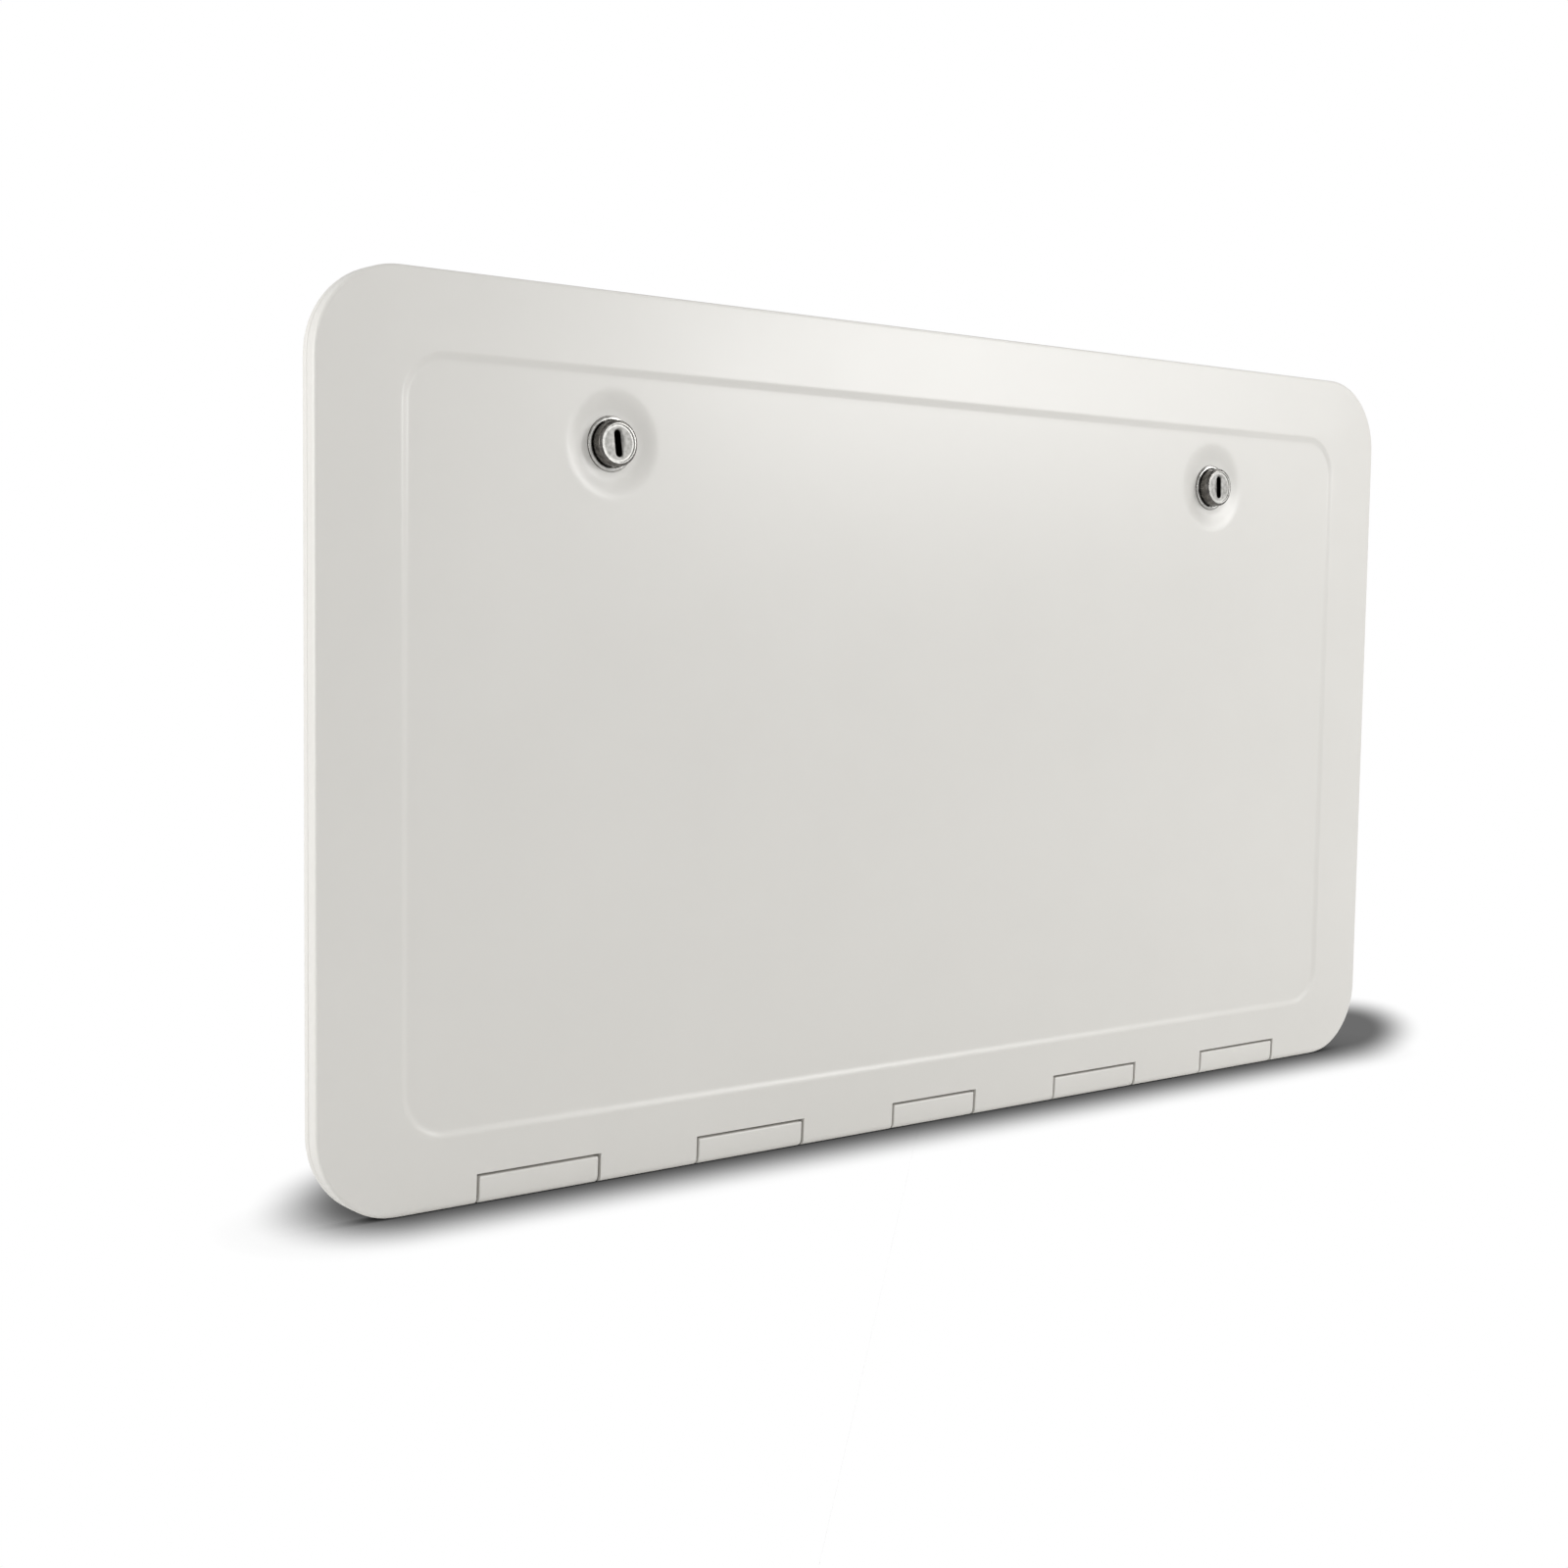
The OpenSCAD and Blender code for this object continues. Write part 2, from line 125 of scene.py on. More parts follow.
def flat_fill(loops, y):
    """The flat region at depth y inside the first loop of (x, z) points and outside the others: a
    constrained Delaunay triangulation, less the triangles whose middle lies in one of the others."""
    edges, start = [], 0
    for loop in loops:
        n = np.arange(len(loop))
        edges += np.stack([start + n, start + (n + 1) % len(loop)], -1).tolist()
        start += len(loop)
    corners = np.concatenate(loops)
    points, _, faces, *_ = delaunay_2d_cdt(corners.tolist(), edges, [], 1, 1e-7)
    points = np.array([tuple(p) for p in points])
    faces = np.array([tuple(f) for f in faces])
    middle = points[faces].mean(1)
    keep = np.ones(len(faces), bool)
    for loop in loops[1:]:
        keep &= ~inside(loop, *middle.T)
    return np.stack([points[:, 0], np.full(len(points), y), points[:, 1]], -1), faces[keep].tolist()


def circle(x, z, r, n=96):
    """n points (x, z) on a circle: the centre plus r times the cosine and sine of the angle."""
    a = np.arange(n) * 2 * np.pi / n
    return np.stack([x + r * np.cos(a), z + r * np.sin(a)], -1)


def turned(profile, x, z, n=96, turn=None):
    """A profile of (radius, depth) points turned round the axis through (x, z) along Y: each point goes
    to the centre plus its radius times the cosine and sine of the angle, at its depth. turn, if given,
    changes the radius as a function of (radius, depth, angle)."""
    r, y = np.array(profile, float).T[:, :, None]
    a = np.arange(n)[None, :] * 2 * np.pi / n
    r = turn(r, y, a) if turn else r + 0 * a
    y = y + 0 * a
    return grid(np.stack([x + r * np.cos(a), y, z + r * np.sin(a)], -1), around=True)


def arc(cx, cy, r, a0, a1, n=6):
    """n + 1 points on an arc from angle a0 to a1 in degrees: the centre plus r times cosine and sine."""
    a = np.radians(np.linspace(a0, a1, n + 1))
    return np.stack([cx + r * np.cos(a), cy + r * np.sin(a)], -1).tolist()


def mesh_piece(name, body, material, patches, replaces=(), sharp=30, bevel=0.0):
    """One closed object from patches of (points in mm, faces): doubles are merged, the faces turned
    outwards, and edges steeper than sharp degrees stay crisp. bevel rounds those by that many mm."""
    points, faces, start = [], [], 0
    for p, f in patches:
        points.append(p)
        faces += [[start + k for k in face] for face in f]
        start += len(p)
    mesh = bpy.data.meshes.new(name)
    mesh.from_pydata((np.concatenate(points) * 0.001).tolist(), [], faces)
    b = bmesh.new()
    b.from_mesh(mesh)
    bmesh.ops.remove_doubles(b, verts=b.verts, dist=2e-6)
    bmesh.ops.dissolve_degenerate(b, edges=b.edges, dist=1e-7)
    bmesh.ops.recalc_face_normals(b, faces=b.faces)
    b.to_mesh(mesh)
    b.free()
    mesh.shade_smooth()
    mesh.set_sharp_from_angle(angle=math.radians(sharp))
    mesh.materials.append(material)
    o = bpy.data.objects.new(name, mesh)
    bpy.context.scene.collection.objects.link(o)
    if bevel:
        m = o.modifiers.new("round_edges", "BEVEL")
        m.width, m.segments, m.limit_method = bevel * 0.001, 2, "ANGLE"
        m.angle_limit = math.radians(40)
        m.harden_normals = True
    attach(o, body)
    if replaces:
        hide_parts(*replaces)
    return o


# Rings round the door

def ring_columns():
    """The columns that all rings share: for each, which share of the straight half-lengths its corner
    centre lies at, in X and Z, and the angle at which it leaves that centre. The lower side has a
    column at each edge of each notch, so that a notch is cut between columns."""
    cuts = np.array([x + s * (w / 2 + KNUCKLE_GAP) for x, w in KNUCKLES for s in (-1, 1)])
    low = np.unique(np.round(np.concatenate([np.linspace(-STRAIGHT, STRAIGHT, 32), cuts]), 4)) / STRAIGHT
    up = np.linspace(-1, 1, 15)
    arcs = np.radians(np.linspace(0, 90, 19))[1:-1]
    one = np.ones_like(arcs)
    qx = np.concatenate([low, one, 1 + 0 * up, one, -low, -one, -1 + 0 * up, -one])
    qz = np.concatenate([-1 + 0 * low, -one, up, one, 1 + 0 * low, one, -up, -one])
    q = math.pi / 2
    a = np.concatenate([-q + 0 * low, arcs - q, 0 * up, arcs, q + 0 * low, arcs + q,
                        2 * q + 0 * up, arcs + 2 * q])
    return qx, qz, a, len(low)


QX, QZ, ANGLE, LOW = ring_columns()
COS, SIN = np.cos(ANGLE), np.sin(ANGLE)
# 1 along the lower side, and smoothly down to 0 over the first 24 degrees of the corners beside it
LOWER = smooth(1 - np.degrees(np.arccos(np.clip(-SIN, -1, 1))) / 24)


def ring(w, h, r, z, y, floor=None):
    """A round-cornered rectangle of w by h centred at height z: each column starts from its share of the
    straight half-lengths and leaves it by r at its angle. floor lifts what lies lower up to that height."""
    px = QX * (w / 2 - r) + r * COS
    pz = z + QZ * (h / 2 - r) + r * SIN
    if floor is not None:
        pz = np.maximum(pz, floor)
    return np.stack([px, y + 0 * px, pz], -1)


def outline(inset, y, floor=None):
    """The door's outline drawn in by inset, which may differ from column to column."""
    return ring(DOOR_W - 2 * inset, DOOR_H - 2 * inset, CORNER_R - inset, MID_Z, y, floor)


def between(a, b, t):
    """What lies at share t of the way from a to b, rings or numbers."""
    return a + (b - a) * t


def border_y(inset):
    """Depth of the leaf's border: it rises in a straight slope from the edge to the ridge."""
    return FRONT_Y - CROWN * np.clip(inset / CROWN_RUN, 0, 1)


def flat(row):
    """The (x, z) of a ring's points, as flat_fill takes them."""
    return row[:, [0, 2]]


# Materials

def linear(code):
    """Linear colour of an sRGB hex code: the sRGB curve undone channel by channel."""
    c = np.array([int(code[k:k + 2], 16) / 255 for k in (1, 3, 5)])
    return tuple(np.where(c <= 0.04045, c / 12.92, ((c + 0.055) / 1.055) ** 2.4)) + (1.0,)


def add(tree, kind, inputs=None, **settings):
    """Adds one node with its settings; inputs maps sockets to values, to other nodes' outputs, or to other
    nodes, of which the first output is meant."""
    n = tree.nodes.new(kind)
    for key, value in settings.items():
        setattr(n, key, value)
    for key, value in (inputs or {}).items():
        if isinstance(value, bpy.types.Node):
            value = value.outputs[0]
        if isinstance(value, bpy.types.NodeSocket):
            tree.links.new(value, n.inputs[key])
        else:
            n.inputs[key].default_value = value
    return n


def new_material(name, shader):
    """A material with its Principled shader's constant values set; the caller links the rest."""
    m = bpy.data.materials.new(name)
    m.use_nodes = True
    tree = m.node_tree
    tree.nodes.clear()
    s = add(tree, "ShaderNodeBsdfPrincipled", shader)
    add(tree, "ShaderNodeOutputMaterial", {"Surface": s.outputs[0]})
    return m, tree, s


def grain(tree, size_mm, **noise):
    """Noise whose features are about size_mm wide, on Object coordinates in metres."""
    place = add(tree, "ShaderNodeTexCoord")
    where = {"Vector": place.outputs["Object"], "Scale": 1000 / size_mm}
    return add(tree, "ShaderNodeTexNoise", {**where, **noise}).outputs["Fac"]


def tint(tree, factor, low, high, spread=(0.3, 0.7)):
    """A colour between two hex codes as the factor goes over the spread."""
    r = add(tree, "ShaderNodeValToRGB", {"Fac": factor})
    e = r.color_ramp.elements
    e[0].position, e[0].color = spread[0], linear(low)
    e[1].position, e[1].color = spread[1], linear(high)
    return r.outputs["Color"]


def bumpy(tree, shader, size_mm, height_mm, detail):
    """Bumps of about size_mm wide and height_mm high, linked into the shader's normal."""
    height = grain(tree, size_mm, Detail=detail)
    bump = add(tree, "ShaderNodeBump", {"Strength": 1.0, "Distance": height_mm * 0.001, "Height": height})
    tree.links.new(bump.outputs[0], shader.inputs["Normal"])


def moulded_abs(name, light, dark, rough, peel_mm, peel):
    """Acrylic-capped ABS, pressed or moulded glossy: an even pale colour under a clear gloss, with the
    slight waviness of the mould in its reflections and faint cloudiness in its gloss."""
    m, tree, s = new_material(name, {"IOR": 1.49, "Specular IOR Level": 0.5})
    cloud = grain(tree, 60, Detail=2.0)
    gloss = add(tree, "ShaderNodeMapRange", {"Value": cloud, "To Min": rough - 0.03, "To Max": rough + 0.03})
    tree.links.new(tint(tree, cloud, dark, light, (0, 1)), s.inputs["Base Color"])
    tree.links.new(gloss.outputs["Result"], s.inputs["Roughness"])
    bumpy(tree, s, peel_mm, peel, 1.0)
    return m


def plated(name, light, dark, rough, grain_mm, relief):
    """Plated metal: mirror-like but softened by the fine unevenness of the casting or sheet below."""
    m, tree, s = new_material(name, {"Metallic": 1.0})
    cloud = grain(tree, 2.2, Detail=3.0)
    gloss = add(tree, "ShaderNodeMapRange", {"Value": cloud, "From Min": 0.3, "From Max": 0.7,
                                             "To Min": rough - 0.04, "To Max": rough + 0.05})
    tree.links.new(tint(tree, cloud, dark, light), s.inputs["Base Color"])
    tree.links.new(gloss.outputs["Result"], s.inputs["Roughness"])
    bumpy(tree, s, grain_mm, relief, 2.0)
    return m


def rubber(name):
    """Extruded EPDM rubber: nearly black and matt, with a fine pebbly skin."""
    m, tree, s = new_material(name, {"Base Color": linear("#1B1C1C"), "Roughness": 0.7, "IOR": 1.52})
    bumpy(tree, s, 0.6, 0.05, 2.0)
    return m


ABS_SKIN = moulded_abs("abs_gloss_skin", "#E1DFDA", "#DEDCD7", 0.30, 14, 0.010)
ABS_FRAME = moulded_abs("abs_gloss_frame", "#E1DFDA", "#DEDCD7", 0.32, 9, 0.010)
ABS_LINER = moulded_abs("abs_satin_liner", "#DDDBD6", "#D9D7D2", 0.50, 1.2, 0.020)
# A lock shows a bright plated ring. Its head's rim and face are darker copies of that plating (painted shade
# that tones down the lamps' reflections). Its turned sides are painted dark (a painted reflection of a dark
# room), and its keyway is painted near black (painted shade).
LOCK_METAL = plated("zinc_die_cast_nickel_plated", "#D2D1CD", "#A8A7A4", 0.24, 0.5, 0.004)
LOCK_RIM_SHADED_COPY = plated("zinc_die_cast_satin_rim_painted_shade", "#B9B8B4", "#979693", 0.30, 0.5, 0.004)
LOCK_FACE_SHADED_COPY = plated("zinc_die_cast_brushed_face_painted_shade", "#A3A29F", "#72716E", 0.40, 0.5, 0.006)
LOCK_SIDE_PAINTED_DARK = plated("zinc_die_cast_painted_dark_reflection", "#7D7A76", "#575552", 0.26, 0.5, 0.004)
# Painted shade: the keyway's walls and floor are painted near black, as the deep slot's shade
KEYWAY_PAINTED_SHADE = plated("keyway_painted_shade", "#24211E", "#1A1816", 0.45, 0.4, 0.01)
ZINC = plated("sheet_steel_zinc_plated", "#B7BABB", "#9DA1A4", 0.36, 0.8, 0.008)
STAINLESS = plated("stainless_drawn_rod", "#B9B8B4", "#A8A7A3", 0.28, 0.3, 0.004)
EPDM = rubber("epdm_extruded")

# The seal, pins and strikers show as the solids themselves
for nodes, material in [
    (["door_seal"], EPDM),
    ([f"hinge_pin_{k}" for k in range(1, 6)], STAINLESS),
    (["striker_left", "striker_right"], ZINC),
]:
    for n in nodes:
        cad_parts[n].data.materials.clear()
        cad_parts[n].data.materials.append(material)


# Leaf

def leaf_skin():
    """The leaf's outer skin, as rings from the panel's floor out over the ridge, down the border, round
    the edge and in over the back. The step into the panel is an S-curve. Along the lower side the edge is
    a full round about the hinge line, so both roundings grow there from their usual radius. Cells inside
    a notch are left out, and its top and ends are closed. A dish is an S-curve in the distance from its
    lock, and flat fills close the panel and the back between the rings and the dishes."""
    edge = EDGE_R + (ROUND_R - EDGE_R) * LOWER
    rear = 0.3 + (ROUND_R - 0.3) * LOWER

    def panel(inset, y):
        return ring(PANEL_W - 2 * inset, PANEL_H - 2 * inset, PANEL_R - inset, PANEL_Z, y)

    ridge, floor = panel(0, RIDGE_Y), panel(STEP_W, PANEL_Y)
    rows = [panel(STEP_W + 1.5, PANEL_Y)]
    for t in np.linspace(0, 1, 11):
        row = between(floor, ridge, t)
        row[:, 1] = PANEL_Y + (RIDGE_Y - PANEL_Y) * smooth(t)
        rows.append(row)
    inner = outline(BORDER_W, border_y(BORDER_W))
    rows += [between(ridge, inner, 0.25), between(ridge, inner, 0.6), inner]
    rows += [outline(s, border_y(s)) for s in (26.0, 21.0, 16.5)]
    lip = NOTCH_TOP - BOTTOM_Z
    front_notch = len(rows)
    for t in (1.0, 0.7, 0.4, 0.18, 0.06):
        s = between(edge, lip, t)
        rows.append(outline(s, border_y(s)))
    base = border_y(edge)
    rows += [outline(edge * (1 - np.cos(a)), base + edge * (1 - np.sin(a)))
             for a in np.radians(np.linspace(90, 0, 9))]
    rows += [outline(0, between(base + edge, BACK_Y - rear, t)) for t in (0.3, 0.7)]
    rows += [outline(rear * (1 - np.cos(a)), BACK_Y - rear * (1 - np.sin(a)))
             for a in np.radians(np.linspace(0, 90, 7))]
    back_notch = len(rows)
    rows += [outline(np.maximum(rear + 0.1, 2.0), BACK_Y, NOTCH_TOP), outline(SKIN_T, BACK_Y, RIM_TOP),
             outline(SKIN_T, LEDGE_Y, RIM_TOP), outline(SKIN_T + 1.5, LEDGE_Y, RIM_TOP + 1.5)]
    points = np.stack(rows)
    cols = points.shape[1]
    verts, faces = grid(points, around=True)
    x = points[front_notch, :LOW, 0]
    faces = np.array(faces).reshape(len(rows) - 1, cols, 4)
    keep = np.ones(faces.shape[:2], bool)
    closing = []
    for kx, kw in KNUCKLES:
        half = kw / 2 + KNUCKLE_GAP
        a = int(np.argmin(abs(x - (kx - half))))
        b = int(np.argmin(abs(x - (kx + half))))
        keep[front_notch:back_notch, a:b] = False
        j = np.arange(a, b)
        f, k = front_notch * cols + j, back_notch * cols + j
        closing += np.stack([f, f + 1, k + 1, k], -1).tolist()
        closing += [[i * cols + c for i in range(front_notch, back_notch + 1)] for c in (a, b)]
    patches = [(verts, faces[keep].tolist() + closing)]
    fronts, backs = [flat(points[0])], [flat(points[-1])]
    dish, seat = DISH_R + 0.5, ROSETTE_R + 0.08
    wall = [[dish, PANEL_Y]]
    wall += [[between(DISH_R, DISH_FLOOR_R, t), between(PANEL_Y, DISH_FLOOR_Y, soft(t))]
             for t in np.linspace(0, 1, 17)]
    wall += [[seat, DISH_FLOOR_Y], [seat, DISH_Y], [HOLE_R, DISH_Y], [HOLE_R, LEDGE_Y]]
    for lx in (-LOCK_X, LOCK_X):
        patches.append(turned(wall, lx, LOCK_Z))
        fronts.append(circle(lx, LOCK_Z, dish))
        backs.append(circle(lx, LOCK_Z, HOLE_R))
    patches += [flat_fill(fronts, PANEL_Y), flat_fill(backs, LEDGE_Y)]
    mesh_piece("leaf_skin", "leaf", ABS_SKIN, patches, ["door_skin"])


def leaf_liner():
    """The tray in the leaf's back, as rings: the flange's rim, its face, a fillet into the tray's wall, a
    round edge; and an S-curve down into the field pressed into its back. Flat fills close the field, the
    border round it and the hidden front, the last two with a round hole for each lock."""
    out, low = SKIN_T + LINER_FIT, RIM_TOP + LINER_FIT
    front_y, field_y = LEDGE_Y + 0.02, PLUG_Y - FIELD_DROP
    fillet, edge_r = 2.0, 4.0

    def rim(inset, y):
        return outline(out + inset, y, low + inset)

    def tray(grow, y, r=None):
        return ring(PLUG_W + 2 * grow, PLUG_H + 2 * grow, PLUG_R + grow if r is None else r, MID_Z, y)

    rows = [rim(4, front_y), rim(0, front_y), rim(0, BACK_Y - 0.4), rim(0.12, BACK_Y - 0.12),
            rim(0.4, BACK_Y), rim(1.2, BACK_Y), tray(3.6, BACK_Y), tray(2.4, BACK_Y)]
    rows += [tray(fillet * (1 - math.sin(a)), BACK_Y + fillet * (1 - math.cos(a)))
             for a in np.radians([15, 30, 45, 60, 75, 90])]
    rows += [tray(0, BACK_Y + 4), tray(0, PLUG_Y - 6)]
    rows += [tray(-edge_r * (1 - math.cos(a)), PLUG_Y - edge_r * (1 - math.sin(a)))
             for a in np.radians(np.linspace(0, 90, 8))]
    rows += [tray(-5.5, PLUG_Y)]
    field = [tray(0.8 - FIELD_INSET, PLUG_Y, FIELD_R + 0.8)]
    field += [tray(-FIELD_INSET - FIELD_RUN * t, PLUG_Y - FIELD_DROP * smooth(t), FIELD_R - FIELD_RUN * t)
              for t in np.linspace(0, 1, 9)]
    field += [tray(-FIELD_INSET - FIELD_RUN - 1, field_y, FIELD_R - FIELD_RUN - 1)]
    patches = [grid(np.stack(rows), around=True), grid(np.stack(field), around=True)]
    fronts, backs = [flat(rows[0])], [flat(rows[-1]), flat(field[0])]
    for lx in (-LOCK_X, LOCK_X):
        patches.append(turned([[HOLE_R, front_y], [HOLE_R, PLUG_Y]], lx, LOCK_Z))
        fronts.append(circle(lx, LOCK_Z, HOLE_R))
        backs.append(circle(lx, LOCK_Z, HOLE_R))
    patches += [flat_fill(fronts, front_y), flat_fill(backs, PLUG_Y), flat_fill([flat(field[-1])], field_y)]
    mesh_piece("leaf_liner", "leaf", ABS_LINER, patches, ["door_liner"])


# Frame

def wall_frame():
    """The frame, as rings round its section: the flange's back and edge, its front with the seal's groove,
    and the collar. The flat stretches of the flange that hold the screws are fills with round holes, and
    each hole is a cone and a cylinder turned about its axis."""
    f, b, edge_r, foot_r = -FLANGE_T, 0.0, 0.8, 1.2
    run_x, run_z = DOOR_W / 2 - SCREW_INSET, DOOR_H / 2 - SCREW_INSET
    screws = [(x, MID_Z + s * run_z) for s in (-1, 1) for x in SCREW_ROW]
    screws += [(sx * run_x, MID_Z + sz * SCREW_SIDE) for sx in (-1, 1) for sz in (-1, 1)]

    def collar(grow, y):
        return ring(COLLAR_W + 2 * grow, COLLAR_H + 2 * grow, COLLAR_R + grow, MID_Z, y)

    def holes(r):
        return [circle(x, z, r, 32) for x, z in screws]

    edge = [outline(0.3, b), outline(0, b - 0.3), outline(0, f + edge_r)]
    edge += [outline(edge_r * (1 - math.cos(a)), f + edge_r * (1 - math.sin(a)))
             for a in np.radians([22, 45, 68, 90])]
    edge += [outline(2.0, f), outline(GROOVE_FROM, f), outline(GROOVE_FROM, f + GROOVE_DEPTH),
             outline(GROOVE_TO, f + GROOVE_DEPTH), outline(GROOVE_TO, f), outline(GROOVE_TO + 0.5, f)]
    turns = [(1 - math.sin(a), 1 - math.cos(a)) for a in np.radians([30, 60, 90])]
    inner = [collar(1.8 - COLLAR_T, f), collar(1.0 - COLLAR_T, f)]
    inner += [collar(u - COLLAR_T, f + v) for u, v in turns]
    inner += [collar(-COLLAR_T, f + 3), collar(-COLLAR_T, COLLAR_Y - 0.5), collar(0.5 - COLLAR_T, COLLAR_Y),
              collar(-0.5, COLLAR_Y), collar(0, COLLAR_Y - 0.5), collar(0, b + 1.5)]
    inner += [collar(foot_r * v, b + foot_r * u) for u, v in turns]
    patches = [grid(np.stack(edge), around=True), grid(np.stack(inner), around=True),
               flat_fill([flat(edge[-1]), flat(inner[0])] + holes(SCREW_HEAD_R), f),
               flat_fill([flat(edge[0]), flat(inner[-1])] + holes(SCREW_R), b)]
    hole = [[SCREW_HEAD_R, f], [SCREW_R, f + SCREW_HEAD_R - SCREW_R], [SCREW_R, b]]
    patches += [turned(hole, x, z, 32) for x, z in screws]
    mesh_piece("wall_frame", "frame", ABS_FRAME, patches, ["frame"])


def knuckle(k, x, w):
    """One hinge knuckle: its section, flush with the leaf's border in front and a full round about the
    hinge line below, carried straight along X and closed by flat ends; a bevel rounds its edges."""
    def front(z):
        return border_y(z - BOTTOM_Z)

    top, over = KNUCKLE_TOP, 0.9
    tilt = math.degrees(math.atan(CROWN / CROWN_RUN))
    cy = front(top) + over
    section = [[-FLANGE_T, top]] + arc(cy, top - over, over, 90, 180 + tilt, 5)
    section += [[front(4.0), 4.0], [front(ROUND_R) + 0.04, 1.2]]
    section += arc(AXIS_Y, 0.0, ROUND_R, 180, 270, 8) + [[-FLANGE_T, BOTTOM_Z]]
    s = np.array(section)
    xs = np.linspace(x - w / 2 + 0.2, x + w / 2 - 0.2, 3)[:, None]
    n = len(s)
    points = np.stack([xs + 0 * s[None, :, 0], s[None, :, 0] + 0 * xs, s[None, :, 1] + 0 * xs], -1)
    verts, faces = grid(points, around=True)
    faces += [list(range(n)), list(range(2 * n, 3 * n))]
    mesh_piece(f"knuckle_{k}", "frame", ABS_FRAME, [(verts, faces)], [f"hinge_knuckle_{k}"],
               bevel=0.5)


# Locks

def thread(r, y, a):
    """Radius of a screw thread: it falls in a V by the thread's depth once per pitch, and the V moves along
    by one pitch in a full turn. It fades out towards both ends."""
    pitch, depth = 1.0, 0.45
    phase = (y / pitch - a / (2 * np.pi)) % 1.0
    ends = np.minimum(smooth((y - (PLUG_Y + 1)) / 1.0), smooth((SLEEVE_END - 0.3 - y) / 0.8))
    outer = r > SLEEVE_R - 0.3
    return np.where(outer, r - depth * (1 - abs(2 * phase - 1)) * ends, r)


def paint(o, side, others):
    """Gives faces of a lock piece further materials: each of others is a material and a test on a face's
    middle, in mm: its distance from the lock axis and its depth."""
    mid = np.array([p.center for p in o.data.polygons]) * 1000
    far = np.hypot(mid[:, 0] - side * LOCK_X, mid[:, 2] - LOCK_Z)
    index = np.zeros(len(mid), np.int32)
    for material, test in others:
        o.data.materials.append(material)
        index[test(far, mid[:, 1])] = len(o.data.materials) - 1
    o.data.polygons.foreach_set("material_index", index)


def lock_housing(side, word):
    """The housing: a flange with a turned bevel and a soft inner lip, and a threaded sleeve behind it. The
    flange's outer side and the wall inside its lip are painted dark, a painted reflection of a dark room
    rather than the plating's own colour."""
    bore, seat, round_r = BARREL_R + 0.05, HEAD_R + 0.45, 1.1
    profile = [[bore, HEAD_SEAT_Y], [seat, HEAD_SEAT_Y], [seat, ROSETTE_Y + 0.3]]
    profile += arc(seat + 0.3, ROSETTE_Y + 0.3, 0.3, 180, 270, 3)[1:]
    profile += [[ROSETTE_R - 1.3, ROSETTE_Y]]
    profile += arc(ROSETTE_R - round_r, ROSETTE_Y + round_r, round_r, 275, 355, 6)
    profile += [[ROSETTE_R, ROSETTE_Y + 1.4], [ROSETTE_R, DISH_Y - 0.15], [ROSETTE_R - 0.15, DISH_Y],
                [SLEEVE_R, DISH_Y]]
    profile += [[SLEEVE_R, y] for y in np.linspace(DISH_Y + 0.1, PLUG_Y - 0.5, 4)]
    profile += [[SLEEVE_R, y] for y in np.arange(PLUG_Y, SLEEVE_END - 0.35, 0.125)]
    profile += [[SLEEVE_R - 0.35, SLEEVE_END], [bore + 0.3, SLEEVE_END], [bore, SLEEVE_END - 0.3],
                [bore, HEAD_SEAT_Y]]
    patch = turned(profile, side * LOCK_X, LOCK_Z, 96, thread)
    o = mesh_piece(f"housing_{word}", "leaf", LOCK_METAL, [patch], [f"lock_housing_{word}"])
    # Painted reflection: the outer side and the inner lip's wall get a dark copy of the plating, standing in
    # for a dark room
    paint(o, side, [(LOCK_SIDE_PAINTED_DARK, lambda far, y: (y < 0) & ((far > ROSETTE_R - 0.08) | (far < seat + 0.1)))])


def hexagon(across, chamfer):
    """Turns a profile into a hexagon of that width across its flats: a radius over chamfer is cut down to
    the flats, and a smaller one stays round."""
    def turn(r, y, a):
        flats = across / 2 / np.cos((a + math.pi / 6) % (math.pi / 3) - math.pi / 6)
        return np.where(r > chamfer, np.minimum(flats, r), r)
    return turn


def lock_nut(side, word):
    """A thin hexagon nut with turned chamfers and a bore that meets the sleeve's thread."""
    across, bore = NUT_R * math.sqrt(3), SLEEVE_R + 0.03
    y0, y1 = PLUG_Y, PLUG_Y + NUT_T
    profile = [[bore, y0], [across / 2 - 0.3, y0], [NUT_R, y0 + 0.7], [NUT_R, y1 - 0.7],
               [across / 2 - 0.3, y1], [bore + 0.4, y1], [bore, y1 - 0.4], [bore, y0]]
    patch = turned(profile, side * LOCK_X, LOCK_Z, 96, hexagon(across, across / 2))
    mesh_piece(f"nut_{word}", "leaf", ZINC, [patch], [f"lock_nut_{word}"], sharp=18)


def slot_loop(x, z, w, h, tilt, n=96):
    """n points round a slot with straight sides and round ends, spread by angle: each ray from the middle
    meets the sides at half the width, and the ends on their arcs; the whole is then turned by tilt."""
    a = np.arange(n) * 2 * np.pi / n
    c, s = np.cos(a), np.sin(a)
    half, long = w / 2, h / 2 - w / 2
    side = half / np.maximum(abs(c), 1e-9)
    end = long * abs(s) + np.sqrt(np.maximum(half ** 2 - (long * c) ** 2, 0))
    r = np.where(side * abs(s) <= long, side, end)
    t = math.radians(tilt)
    px, pz = r * c, r * s
    return x + px * math.cos(t) - pz * math.sin(t), z + px * math.sin(t) + pz * math.cos(t)


